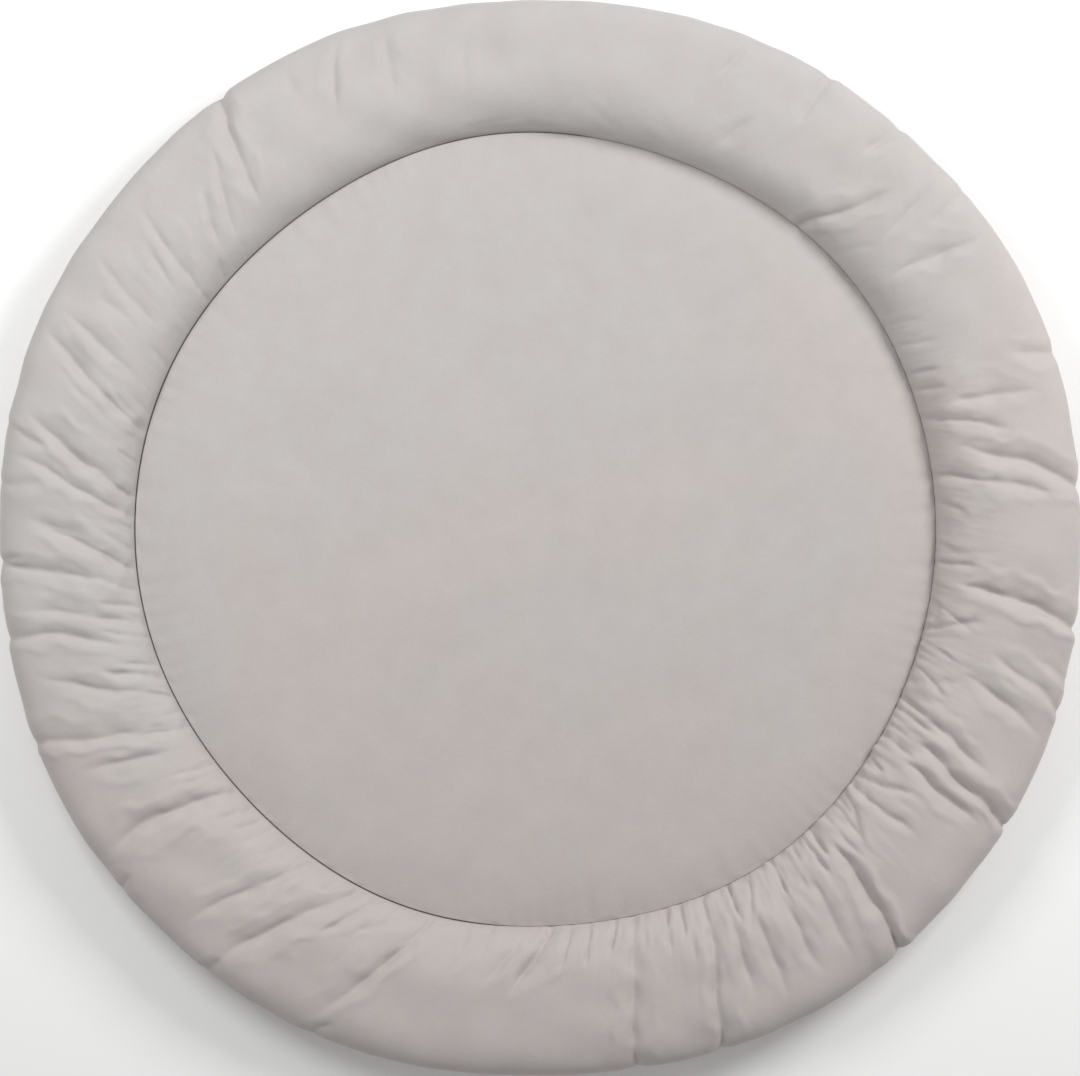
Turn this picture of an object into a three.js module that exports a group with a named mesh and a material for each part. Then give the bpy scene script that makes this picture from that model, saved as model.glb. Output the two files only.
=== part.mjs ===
import * as THREE from "three";

// Round padded play mat for a baby, lying flat with its filled side up: a filled centre pad, and
// round it a stuffed rim whose strip of cloth is gathered to the pad's seam, so that it puckers.
// Millimetres, +Z up. The origin is on the floor, under the middle of the mat's overall box.
// Angles run anticlockwise from +X, as seen from above.

// Plan sizes
const outlineRadius = 478; // middle of the mat to the rim's widest line, on average
const seamRadius = 351.5; // middle of the mat to the seam between pad and rim, on average
const seamGap = 0.3; // cloth of the pad to cloth of the rim

// Heights above the floor
const crownHeight = 60; // top of the stuffed rim
const waistHeight = 26; // where the rim is widest
const seamHeight = 18; // the stitched line between pad and rim
const padHeight = 33; // middle of the centre pad
const padShoulder = 46; // how far in from the seam the pad's rounded edge reaches
const padDome = 5; // share of the pad's height that is a slow dome over its whole width
const hemChamfer = 3; // the underside's seam is drawn in by this much

// Stuffed section of the rim
const rimTuck = 26; // how far the underside draws in from the widest line
const fullness = 0.82; // 1 is an ellipse, less is fuller
const crownSteps = 13; // steps over the top, from the seam to the widest line
const tuckSteps = 3; // steps under the widest line, down to the floor

// How gathers sink into the cloth
const troughReach = 0.62; // middle of a trough to where it ends, as a share of its width
const seamFade = 0.1; // share of the section over which they grow from nothing at the seam
const waistFade = 0.7; // share of the section from which they grow shallow again
const waistShare = 0.4; // share of their depth that is left at the widest line
const startFade = 0.1; // share of the way out over which one starts
const endFade = 0.2; // share of the way out over which one runs out
const puckerLean = 4; // degrees by which the small puckers lean over the whole way out

// How the mesh follows the cloth
const padColumns = 120;
const padRings = [0.3, 0.58, 0.78, 0.87, 0.92, 0.955, 0.98, 1]; // shares of the seam's radius
const widestColumn = 2.5; // degrees between two columns of the rim, at most
const closestColumn = 0.85; // degrees between two columns of the rim, at least

// Slow swings of the lines about a true circle: how many round the mat, how far, where one crests
const outlineSwings = [
  { count: 2, swing: 1.3, crestDeg: -5 },
  { count: 4, swing: 3.0, crestDeg: 45 },
  { count: 5, swing: 0.8, crestDeg: 29 },
  { count: 8, swing: 1.4, crestDeg: -20 },
];
const seamSwings = [
  { count: 1, swing: 7.1, crestDeg: 112 },
  { count: 2, swing: 1.6, crestDeg: -12 },
  { count: 3, swing: 1.7, crestDeg: 57 },
  { count: 5, swing: 1.6, crestDeg: 28 },
  { count: 7, swing: 1.0, crestDeg: -6 },
];
const crownSwings = [
  { count: 2, swing: 1.5, crestDeg: -60 },
  { count: 5, swing: 1.2, crestDeg: 12 },
  { count: 9, swing: 0.9, crestDeg: 3 },
];

// Gathers of the rim's cloth, in order round the mat. outer and inner are the angles where a
// gather's line would meet the widest line and the seam, bow bends it between them, and from and to
// are the stretch it has, as shares of the way out from the seam.
const gathers = [
  { outer: 3.8, inner: 9.0, bow: 0.3, from: 0, to: 0.95, depth: 3.2, width: 16 },
  { outer: 5.5, inner: 13.6, bow: 0.4, from: 0.1, to: 1, depth: 4.4, width: 20 },
  { outer: 10.5, inner: 17.4, bow: -0.3, from: 0, to: 0.6, depth: 3.6, width: 16 },
  { outer: 16.0, inner: 19.0, bow: 0, from: 0.05, to: 0.85, depth: 3.2, width: 20 },
  { outer: 19.8, inner: 26.0, bow: 0, from: 0.65, to: 1, depth: 2.8, width: 17 },
  { outer: 34.0, inner: 37.5, bow: 0, from: 0.1, to: 0.95, depth: 3.4, width: 19 },
  { outer: 42.4, inner: 40.8, bow: 0, from: 0.25, to: 0.92, depth: 2.4, width: 15 },
  { outer: 43.5, inner: 50.2, bow: -1.6, from: 0, to: 0.65, depth: 4.0, width: 19 },
  { outer: 49.0, inner: 52.5, bow: 0, from: 0.62, to: 1, depth: 3.2, width: 15 },
  { outer: 57.8, inner: 58.6, bow: 0, from: 0.55, to: 1, depth: 3.2, width: 17 },
  { outer: 60.0, inner: 67.0, bow: -0.6, from: 0.12, to: 0.5, depth: 2.0, width: 15 },
  { outer: 66.8, inner: 72.0, bow: 0, from: 0.6, to: 0.95, depth: 2.8, width: 15 },
  { outer: 106.8, inner: 109.5, bow: 0, from: 0.35, to: 0.95, depth: 2.2, width: 17 },
  { outer: 111.8, inner: 119.0, bow: 0, from: 0.45, to: 0.95, depth: 2.8, width: 16 },
  { outer: 126.0, inner: 130.8, bow: 0.2, from: 0.14, to: 1, depth: 4.0, width: 18 },
  { outer: 128.0, inner: 137.0, bow: -0.5, from: 0.05, to: 0.75, depth: 2.4, width: 17 },
  { outer: 139.3, inner: 144.5, bow: 0, from: 0, to: 0.85, depth: 2.6, width: 17 },
  { outer: 146.8, inner: 152.0, bow: 0, from: 0.1, to: 0.9, depth: 1.8, width: 17 },
  { outer: 153.4, inner: 159.0, bow: 0, from: 0.1, to: 0.9, depth: 2.2, width: 16 },
  { outer: 156.2, inner: 165.0, bow: -0.2, from: 0, to: 0.95, depth: 4.0, width: 18 },
  { outer: 165.0, inner: 174.2, bow: -0.3, from: 0, to: 0.9, depth: 4.4, width: 19 },
  { outer: 170.4, inner: 177.0, bow: -0.6, from: 0, to: 0.95, depth: 3.2, width: 16 },
  { outer: 177.0, inner: 184.3, bow: -1.0, from: 0, to: 0.75, depth: 4.0, width: 18 },
  { outer: 182.7, inner: 186.6, bow: -0.3, from: 0.05, to: 1, depth: 3.4, width: 18 },
  { outer: 187.7, inner: 192.5, bow: -1.0, from: 0, to: 0.95, depth: 3.2, width: 17 },
  { outer: 190.4, inner: 196.0, bow: -1.2, from: 0.08, to: 1, depth: 3.8, width: 18 },
  { outer: 192.4, inner: 200.3, bow: -0.8, from: 0, to: 0.4, depth: 3.8, width: 15 },
  { outer: 194.6, inner: 203.0, bow: -0.8, from: 0, to: 0.86, depth: 3.2, width: 17 },
  { outer: 202.2, inner: 208.2, bow: -0.6, from: 0, to: 1, depth: 3.6, width: 20 },
  { outer: 206.0, inner: 211.0, bow: -0.4, from: 0.1, to: 0.8, depth: 3.2, width: 17 },
  { outer: 216.6, inner: 219.8, bow: -2.2, from: 0, to: 0.95, depth: 4.6, width: 25 },
  { outer: 226.5, inner: 235.0, bow: -1.6, from: 0, to: 0.85, depth: 3.4, width: 19 },
  { outer: 232.4, inner: 242.8, bow: -2.2, from: 0, to: 0.95, depth: 4.6, width: 25 },
  { outer: 236.0, inner: 246.0, bow: -2.0, from: 0, to: 0.4, depth: 3.6, width: 15 },
  { outer: 243.4, inner: 254.3, bow: -0.3, from: 0, to: 0.9, depth: 3.8, width: 19 },
  { outer: 258.0, inner: 268.8, bow: -0.8, from: 0.08, to: 0.45, depth: 3.6, width: 15 },
  { outer: 261.4, inner: 271.6, bow: -0.8, from: 0, to: 0.42, depth: 3.8, width: 14 },
  { outer: 280.2, inner: 286.2, bow: -0.9, from: 0, to: 1, depth: 3.8, width: 17 },
  { outer: 289.4, inner: 294.2, bow: 0, from: 0, to: 1, depth: 3.8, width: 20 },
  { outer: 294.5, inner: 296.6, bow: 0.2, from: 0.12, to: 0.75, depth: 3.2, width: 14 },
  { outer: 297.6, inner: 300.5, bow: 0, from: 0.04, to: 0.85, depth: 3.2, width: 16 },
  { outer: 303.6, inner: 304.6, bow: -0.8, from: 0.04, to: 0.85, depth: 2.8, width: 16 },
  { outer: 305.8, inner: 308.6, bow: 0.4, from: 0.04, to: 0.85, depth: 2.4, width: 16 },
  { outer: 311.2, inner: 314.2, bow: 0.5, from: 0.04, to: 1, depth: 4.8, width: 21 },
  { outer: 315.6, inner: 317.6, bow: 0, from: 0, to: 0.35, depth: 3.0, width: 14 },
  { outer: 321.5, inner: 321.6, bow: 0.2, from: 0, to: 0.55, depth: 3.0, width: 15 },
  { outer: 325.2, inner: 325.0, bow: 0, from: 0, to: 0.4, depth: 3.2, width: 14 },
  { outer: 326.4, inner: 328.8, bow: 0, from: 0.08, to: 0.85, depth: 4.2, width: 16 },
  { outer: 328.2, inner: 332.4, bow: 0, from: 0.12, to: 1, depth: 4.8, width: 19 },
  { outer: 331.2, inner: 336.3, bow: -0.3, from: 0, to: 0.75, depth: 4.0, width: 17 },
  { outer: 338.0, inner: 344.0, bow: 0.2, from: 0.28, to: 0.95, depth: 3.8, width: 18 },
  { outer: 341.6, inner: 348.2, bow: 0.4, from: 0.42, to: 1, depth: 3.6, width: 16 },
  { outer: 350.5, inner: 354.0, bow: 0.5, from: 0.06, to: 1, depth: 4.8, width: 21 },
  { outer: 355.6, inner: 356.6, bow: 0, from: 0, to: 0.35, depth: 3.0, width: 14 },
];

// Small puckers along the stitched line, where the strip is drawn up the most
const puckerRuns = [
  { start: 219.5, end: 232, step: 3.1, depth: 1.5, width: 12, to: 0.22 },
  { start: 298, end: 326, step: 3.3, depth: 2.2, width: 12, to: 0.2 },
];

const radians = THREE.MathUtils.degToRad;
const fullTurn = 360;

function swungRadius(mean, swings, degrees) {
  let radius = mean;
  for (const { count, swing, crestDeg } of swings) {
    radius += swing * Math.cos(radians(count * (degrees - crestDeg)));
  }
  return radius;
}

const outlineAt = (degrees) => swungRadius(outlineRadius, outlineSwings, degrees);
const seamAt = (degrees) => swungRadius(seamRadius, seamSwings, degrees);
const crownAt = (degrees) => swungRadius(crownHeight, crownSwings, degrees);

// The angle of a leaning line at a share of the way out from the seam, bowed by a parabola
function lineAngle({ outer, inner, bow }, out) {
  return THREE.MathUtils.lerp(inner, outer, out) + bow * 4 * out * (1 - out);
}

const middleAngle = (line) => lineAngle(line, 0.5);

// Signed way round from one angle to another, in degrees
function turnBetween(a, b) {
  return THREE.MathUtils.euclideanModulo(a - b + fullTurn / 2, fullTurn) - fullTurn / 2;
}

// 1 inside a gather's stretch, fading softly to nothing at both its ends
function stretchWeight({ from, to }, out) {
  const rise = from > 0 ? THREE.MathUtils.smoothstep(out, from, from + startFade) : 1;
  const fall = to < 1 ? 1 - THREE.MathUtils.smoothstep(out, to - endFade, to) : 1;
  return rise * fall;
}

const puckers = puckerRuns.flatMap(({ start, end, step, depth, width, to }) => {
  const count = Math.floor((end - start) / step);
  return Array.from({ length: count }, (_, i) => {
    const inner = start + i * step;
    return { outer: inner - puckerLean, inner, bow: 0, from: 0, to, depth, width };
  });
});

// How far the cloth is drawn in at a point of the rim by all the gathers that pass it
function gatherDepth(degrees, out) {
  const radius = THREE.MathUtils.lerp(seamAt(degrees), outlineAt(degrees), out);
  let drawn = 0;
  for (const line of [...gathers, ...puckers]) {
    const aside = radians(turnBetween(degrees, lineAngle(line, out))) * radius;
    const reach = Math.abs(aside) / (line.width * troughReach);
    if (reach < 1) {
      const trough = Math.cos((reach * Math.PI) / 2) ** 2;
      drawn = Math.max(drawn, line.depth * trough * stretchWeight(line, out));
    }
  }
  return drawn;
}

// Share of the way out, in plan, at a share of the section over the top
const wayOut = (over) => (1 - Math.cos(Math.PI * over)) / 2;

// Section of the rim over the top, before gathering: over is 0 at the seam and 1 at the widest line
function archPoint(degrees, over) {
  const out = wayOut(over);
  const base = THREE.MathUtils.lerp(seamHeight, waistHeight, over);
  const rise = Math.max(Math.sin(Math.PI * over), 0) ** fullness;
  return {
    radius: THREE.MathUtils.lerp(seamAt(degrees), outlineAt(degrees), out),
    height: base + (crownAt(degrees) - base) * rise,
  };
}

// The same point with the gathers drawn in, square to the section
function crownPoint(line, over) {
  const out = wayOut(over);
  const degrees = lineAngle(line, out);
  const quarterStep = 1 / (4 * crownSteps);
  const here = archPoint(degrees, over);
  const before = archPoint(degrees, Math.max(over - quarterStep, 0));
  const after = archPoint(degrees, Math.min(over + quarterStep, 1));
  const along = new THREE.Vector2(after.radius - before.radius, after.height - before.height);
  along.normalize();
  const atSeam = THREE.MathUtils.smoothstep(over, 0, seamFade);
  const atWaist = THREE.MathUtils.smoothstep(over, waistFade, 1);
  const drawn = gatherDepth(degrees, out) * atSeam * THREE.MathUtils.lerp(1, waistShare, atWaist);
  return place(degrees, here.radius + along.y * drawn, here.height - along.x * drawn);
}

// The rim's underside, from just below the widest line to the floor: under runs 0 to 1
function tuckPoint(line, under) {
  const degrees = lineAngle(line, 1);
  const turn = (under * Math.PI) / 2;
  const drawn = gatherDepth(degrees, 1) * waistShare * (1 - under);
  const radius = outlineAt(degrees) - drawn - rimTuck * (1 - Math.cos(turn));
  return place(degrees, radius, waistHeight * (1 - Math.sin(turn)));
}

function place(degrees, radius, height) {
  const turn = radians(degrees);
  return new THREE.Vector3(radius * Math.cos(turn), radius * Math.sin(turn), height);
}

// The line that a column of the mesh follows, between the gathers on its two sides
function columnLine(middle) {
  const next = gathers.findIndex((line) => middleAngle(line) > middle);
  const last = gathers.length - 1;
  const right = next < 0 ? shifted(gathers[0], fullTurn) : gathers[next];
  let left = gathers[next - 1];
  if (next < 0) left = gathers[last];
  if (next === 0) left = shifted(gathers[last], -fullTurn);
  const share = (middle - middleAngle(left)) / (middleAngle(right) - middleAngle(left));
  return {
    outer: THREE.MathUtils.lerp(left.outer, right.outer, share),
    inner: THREE.MathUtils.lerp(left.inner, right.inner, share),
    bow: THREE.MathUtils.lerp(left.bow, right.bow, share),
  };
}

function shifted(line, degrees) {
  return { ...line, outer: line.outer + degrees, inner: line.inner + degrees };
}

// A column in each gather, one on each side where there is room, and more across the smooth stretches
function rimColumns() {
  const middles = gathers.map(middleAngle);
  const clear = (angle) =>
    middles.every((other) => Math.abs(turnBetween(angle, other)) > closestColumn);
  for (const line of gathers) {
    const side = THREE.MathUtils.radToDeg(line.width / 2 / (outlineRadius - crownHeight));
    for (const angle of [middleAngle(line) - side, middleAngle(line) + side]) {
      if (clear(angle)) middles.push(THREE.MathUtils.euclideanModulo(angle, fullTurn));
    }
  }
  middles.sort((a, b) => a - b);
  const filled = middles.flatMap((angle, i) => {
    const next = i + 1 < middles.length ? middles[i + 1] : middles[0] + fullTurn;
    const steps = Math.ceil((next - angle) / widestColumn);
    return Array.from({ length: steps }, (_, k) => angle + ((next - angle) * k) / steps);
  });
  return filled
    .map((angle) => THREE.MathUtils.euclideanModulo(angle, fullTurn))
    .sort((a, b) => a - b)
    .map(columnLine);
}

// One column of the rim: over the top, round the outside, under, and back up the seam's wall
function rimSection(line) {
  const points = [];
  for (let i = 0; i <= crownSteps; i += 1) points.push(crownPoint(line, i / crownSteps));
  for (let i = 1; i <= tuckSteps; i += 1) points.push(tuckPoint(line, i / tuckSteps));
  const seam = seamAt(line.inner);
  points.push(place(line.inner, seam + hemChamfer, 0));
  points.push(place(line.inner, seam, hemChamfer));
  return points;
}

// Skin over rows of points, closed from the last column back to the first
function skinOf(columns, closedRows) {
  const rows = columns[0].length;
  const positions = columns.flat().flatMap((point) => point.toArray());
  const index = [];
  columns.forEach((_, i) => {
    const here = i * rows;
    const next = ((i + 1) % columns.length) * rows;
    for (let k = 0; k < (closedRows ? rows : rows - 1); k += 1) {
      const up = (k + 1) % rows;
      index.push(here + k, here + up, next + k);
      index.push(next + k, here + up, next + up);
    }
  });
  return { positions, index, rows };
}

function geometryOf(positions, index) {
  const geometry = new THREE.BufferGeometry();
  geometry.setAttribute("position", new THREE.Float32BufferAttribute(positions, 3));
  geometry.setIndex(index);
  geometry.computeVertexNormals();
  return geometry;
}

function rimGeometry() {
  const skin = skinOf(rimColumns().map(rimSection), true);
  return geometryOf(skin.positions, skin.index);
}

// Height of the pad's top: a quarter-round shoulder inside the seam, then a slow dome
function padTop(radius, edge) {
  const shoulder = Math.min((edge - radius) / padShoulder, 1);
  const rounded = Math.sqrt(1 - (1 - shoulder) ** 2);
  const dome = padDome * (1 - (radius / edge) ** 2);
  return seamHeight + (padHeight - padDome - seamHeight) * rounded + dome;
}

function padGeometry() {
  const columns = Array.from({ length: padColumns }, (_, i) => {
    const degrees = (fullTurn * i) / padColumns;
    const edge = seamAt(degrees) - seamGap;
    const top = padRings.map((share) => place(degrees, edge * share, padTop(edge * share, edge)));
    return [...top, place(degrees, edge, hemChamfer), place(degrees, edge - hemChamfer, 0)];
  });
  const { positions, index, rows } = skinOf(columns, false);
  const topMiddle = positions.length / 3;
  const underMiddle = topMiddle + 1;
  positions.push(0, 0, padHeight, 0, 0, 0);
  columns.forEach((_, i) => {
    const here = i * rows;
    const next = ((i + 1) % columns.length) * rows;
    index.push(topMiddle, here, next);
    index.push(underMiddle, next + rows - 1, here + rows - 1);
  });
  return geometryOf(positions, index);
}

// Pale warm grey cloth with a short soft nap
function clothMaterial(name, color) {
  return new THREE.MeshStandardMaterial({ name, color, roughness: 0.92, metalness: 0 });
}

function namedMesh(name, geometry, material) {
  const mesh = new THREE.Mesh(geometry, material);
  mesh.name = name;
  return mesh;
}

function buildMat() {
  const mat = new THREE.Group();
  mat.name = "play_mat";
  mat.add(namedMesh("centre_pad", padGeometry(), clothMaterial("pad_cloth", 0xc4bebb)));
  mat.add(namedMesh("rim_bolster", rimGeometry(), clothMaterial("rim_cloth", 0xc6c0bd)));
  const middle = new THREE.Box3().setFromObject(mat).getCenter(new THREE.Vector3());
  mat.position.set(-middle.x, -middle.y, 0);
  return mat;
}

export default buildMat();
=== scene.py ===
import bpy
import numpy as np
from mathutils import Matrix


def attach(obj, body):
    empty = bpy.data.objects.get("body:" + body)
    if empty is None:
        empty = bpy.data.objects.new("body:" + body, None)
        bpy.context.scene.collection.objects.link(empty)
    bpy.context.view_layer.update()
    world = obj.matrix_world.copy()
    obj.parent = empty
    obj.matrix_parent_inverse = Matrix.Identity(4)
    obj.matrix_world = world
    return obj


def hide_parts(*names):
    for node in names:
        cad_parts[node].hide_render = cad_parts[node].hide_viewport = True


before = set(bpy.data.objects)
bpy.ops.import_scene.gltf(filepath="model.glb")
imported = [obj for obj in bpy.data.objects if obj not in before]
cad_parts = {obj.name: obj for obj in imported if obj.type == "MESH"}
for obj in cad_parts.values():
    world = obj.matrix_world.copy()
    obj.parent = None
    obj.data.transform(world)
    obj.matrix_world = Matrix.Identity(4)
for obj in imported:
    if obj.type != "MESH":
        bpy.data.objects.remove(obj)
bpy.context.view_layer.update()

# The lines the mat is cut and sewn to
plan = {
    "middle": (0.0007, -0.0004),  # where both lines are centred, in the frame
    "outlineRadius": 0.478,  # to the rim's widest line, on average
    "seamRadius": 0.3515,  # to the seam between pad and rim, on average
    "seamHeight": 0.0265,  # of the seam where it is open
    "closedSeamHeight": 0.0240,  # and where it is closed by the gathers
    "hemChamfer": 0.003,  # the underside's seam is drawn in by this much
    # slow swings about a true circle: how many round the mat, how far, where one crests
    "outlineSwings": ((2, 0.0013, -5), (4, 0.0030, 45), (5, 0.0008, 29), (8, 0.0014, -20)),
    "seamSwings": ((1, 0.0071, 112), (2, 0.0016, -12), (3, 0.0017, 57), (5, 0.0016, 28), (7, 0.0010, -6)),
    # the seam shows as an open dark groove on the left, and is closed by the gathers on the right
    "grooveWidth": 0.0018,
    "grooveDepth": 0.0014,
    "grooveFrom": 92,
    "grooveTo": 256,
    "grooveFade": 12,
    "grooveFoot": 0.3,  # share of the groove's opening that is left at its foot
    "wallHeight": 0.5,  # of a point halfway down the seam's wall, as a share of the seam's height
}


def smoothStep(x, low, high):
    # 0 below low, 1 above high, and 3t^2 - 2t^3 between them
    t = np.clip((x - low) / (high - low), 0, 1)
    return t * t * (3 - 2 * t)


def swung(mean, swings, degrees):
    # mean + sum of swing * cos(count * (angle - crest))
    waves = [swing * np.cos(np.radians(count * (degrees - crest))) for count, swing, crest in swings]
    return mean + sum(waves)


def seamLine(degrees):
    # radius of the seam between pad and rim
    return swung(plan["seamRadius"], plan["seamSwings"], degrees)


def outline(degrees):
    # radius of the rim's widest line
    return swung(plan["outlineRadius"], plan["outlineSwings"], degrees)


def turnBetween(a, b):
    # signed way round from b to a, between -180 and 180
    return (a - b + 180) % 360 - 180


def grooveOpening(degrees):
    # full width from grooveFrom to grooveTo, fading to nothing past both
    centre = (plan["grooveFrom"] + plan["grooveTo"]) / 2
    half = (plan["grooveTo"] - plan["grooveFrom"]) / 2
    away = np.abs(turnBetween(degrees, centre))
    return plan["grooveWidth"] * (1 - smoothStep(away, half, half + plan["grooveFade"]))


def seamHeight(degrees):
    # closed height + (open height - closed height) * how open the groove is, from 0 to 1
    opened = grooveOpening(degrees) / plan["grooveWidth"]
    return plan["closedSeamHeight"] + (plan["seamHeight"] - plan["closedSeamHeight"]) * opened


def softLumps(x, y, wavelength, count, seed, spread=(0.65, 1.5)):
    # sum of plane waves, each cos(2 pi (x cos a + y sin a) / length + phase), scaled to about -1 to 1,
    # with lengths that differ from the given one by the spread
    dice = np.random.default_rng(seed)
    total = np.zeros_like(x)
    for _ in range(count):
        heading = dice.uniform(0, 2 * np.pi)
        length = wavelength * dice.uniform(*spread)
        phase = dice.uniform(0, 2 * np.pi)
        total += np.cos(2 * np.pi * (x * np.cos(heading) + y * np.sin(heading)) / length + phase)
    return total / np.sqrt(count)


def placed(degrees, radius, height):
    # from angle, plan radius and height to x, y, z
    turn = np.radians(degrees)
    x = plan["middle"][0] + radius * np.cos(turn)
    y = plan["middle"][1] + radius * np.sin(turn)
    return np.stack([x, y, np.broadcast_to(height, x.shape)], axis=-1)


def ringMesh(name, points, lay, closedRows=False, poles=()):
    # Skin over points[column, row], closed round the columns, with a fan to a pole at its first or last row.
    # lay[column, row] is where each point lies on the uncut cloth, one column longer for the join.
    columns, rows = points.shape[:2]
    steps = rows if closedRows else rows - 1
    i, k = np.meshgrid(np.arange(columns), np.arange(steps), indexing="ij")
    nextColumn, nextRow = (i + 1) % columns, (k + 1) % rows
    quads = np.stack([i * rows + k, nextColumn * rows + k,
                      nextColumn * rows + nextRow, i * rows + nextRow], -1)
    quads = quads.reshape(-1, 4)[:, ::-1]
    corner = np.stack([lay[i, k], lay[i + 1, k], lay[i + 1, k + 1], lay[i, k + 1]], -2)
    corner = corner.reshape(-1, 4, 2)[:, ::-1]
    vertices = points.reshape(-1, 3)
    ring = np.arange(columns)
    fans, fanLay = [], []
    for pole, row, outward in poles:
        here, there = ring * rows + row, (ring + 1) % columns * rows + row
        tip = np.full(columns, len(vertices))
        vertices = np.concatenate([vertices, [pole]])
        tipLay = np.broadcast_to(np.array(pole[:2]), (columns, 2))
        fan = np.stack([tip, here, there] if outward else [tip, there, here], -1)
        sides = [tipLay, lay[:-1, row], lay[1:, row]] if outward else [tipLay, lay[1:, row], lay[:-1, row]]
        fans.append(fan)
        fanLay.append(np.stack(sides, -2))
    mesh = bpy.data.meshes.new(name)
    mesh.vertices.add(len(vertices))
    mesh.vertices.foreach_set("co", vertices.astype(np.float32).ravel())
    loops = np.concatenate([quads.ravel()] + [fan.ravel() for fan in fans])
    sizes = np.concatenate([np.full(len(quads), 4)] + [np.full(len(fan), 3) for fan in fans])
    mesh.loops.add(len(loops))
    mesh.loops.foreach_set("vertex_index", loops.astype(np.int32))
    mesh.polygons.add(len(sizes))
    mesh.polygons.foreach_set("loop_start", (np.cumsum(sizes) - sizes).astype(np.int32))
    mesh.polygons.foreach_set("use_smooth", np.ones(len(sizes), dtype=bool))
    mesh.update(calc_edges=True)
    cloth = mesh.uv_layers.new(name="clothLay")
    flat = np.concatenate([corner.reshape(-1, 2)] + [part.reshape(-1, 2) for part in fanLay])
    cloth.data.foreach_set("uv", flat.astype(np.float32).ravel())
    mesh.validate()
    piece = bpy.data.objects.new(name, mesh)
    bpy.context.scene.collection.objects.link(piece)
    return piece


# Centre pad: a filled round with a slow dome and a rounded edge that dips to the seam
pad = {
    "columns": 720,
    "flatRows": 26,
    "edgeRows": 24,
    "rowSpacing": 0.9,  # power of the flat rows' spacing: 1 is even
    "height": 0.036,
    "dome": 0.005,  # part of the height that is a slow dome over the whole width
    "shoulder": 0.060,  # how far in from the seam the rounded edge reaches
    "roundness": (2.2, 0.95),  # powers of the edge's curve
    "clearance": 0.00015,  # from the seam's line to the cloth
    "lumps": 0.0006,  # unevenness of the filling
    "lumpLength": 0.13,
    "lumpWaves": 9,
    "lumpFade": 0.05,  # distance from the seam over which they rise
    "edgePuckers": 0.0005,  # small draws of the cloth along the stitches
    "puckerLength": 0.019,
    "puckerWaves": 7,
    "puckerReach": 0.016,
    "puckerRise": 0.004,
    "seeds": (4, 11),  # of the lumps and of the puckers
}


def padSurface():
    # Top: radius = edge - shoulder + shoulder * u and height = seam + rise * (1 - u^p)^q round the edge,
    # with a dome * (1 - (r / edge)^2) over all. Puckers fade inward as exp(-distance / reach).
    # Then down the seam's wall and in under it.
    degrees = np.arange(pad["columns"])[:, None] * 360 / pad["columns"]
    edge = seamLine(degrees) - pad["clearance"] - grooveOpening(degrees) / 2
    inner = np.linspace(0, 1, pad["flatRows"] + 1)[None, 1:] ** pad["rowSpacing"] * (edge - pad["shoulder"])
    u = np.sin(np.linspace(0, np.pi / 2, pad["edgeRows"] + 1))[None, 1:]
    outer = edge - pad["shoulder"] * (1 - u)
    radius = np.concatenate([inner, outer], axis=1)
    p, q = pad["roundness"]
    rounded = np.concatenate([np.ones(pad["flatRows"]), (1 - u[0] ** p) ** q])[None, :]
    foot = seamHeight(degrees)
    height = foot + (pad["height"] - pad["dome"] - foot) * rounded + pad["dome"] * (1 - (radius / edge) ** 2)
    points = placed(degrees, radius, height)
    fromEdge = edge - radius
    lumpSeed, puckerSeed = pad["seeds"]
    lumps = softLumps(points[..., 0], points[..., 1], pad["lumpLength"], pad["lumpWaves"], lumpSeed)
    alongSeam = np.radians(degrees) * plan["seamRadius"]
    draws = softLumps(alongSeam, 0 * degrees, pad["puckerLength"], pad["puckerWaves"], puckerSeed)
    fade = np.exp(-fromEdge / pad["puckerReach"]) * smoothStep(fromEdge, 0, pad["puckerRise"])
    points[..., 2] += pad["lumps"] * lumps * smoothStep(fromEdge, 0, pad["lumpFade"])
    points[..., 2] += pad["edgePuckers"] * draws * fade
    closed = seamLine(degrees) - pad["clearance"]
    grooveFoot = edge * plan["grooveFoot"] + closed * (1 - plan["grooveFoot"])
    wall = [placed(degrees, grooveFoot, foot - plan["grooveDepth"])]
    wall += [placed(degrees, closed, foot * share) for share in (plan["wallHeight"], 0.3)]
    wall.append(placed(degrees, closed, plan["hemChamfer"]))
    wall.append(placed(degrees, closed - plan["hemChamfer"], 0.0))
    wall.append(placed(degrees, closed / 2, 0.0))
    return np.concatenate([points] + wall, axis=1)


def makePad():
    # the surface, closed by a fan in the middle of its top and of its underside; its cloth lies flat as cut
    points = padSurface()
    lay = points[..., :2]
    lay = np.concatenate([lay, lay[:1]])
    top = (plan["middle"][0], plan["middle"][1], pad["height"])
    under = (plan["middle"][0], plan["middle"][1], 0.0)
    last = points.shape[1] - 1
    return ringMesh("centrePadCloth", points, lay, poles=((top, 0, True), (under, last, False)))


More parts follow.
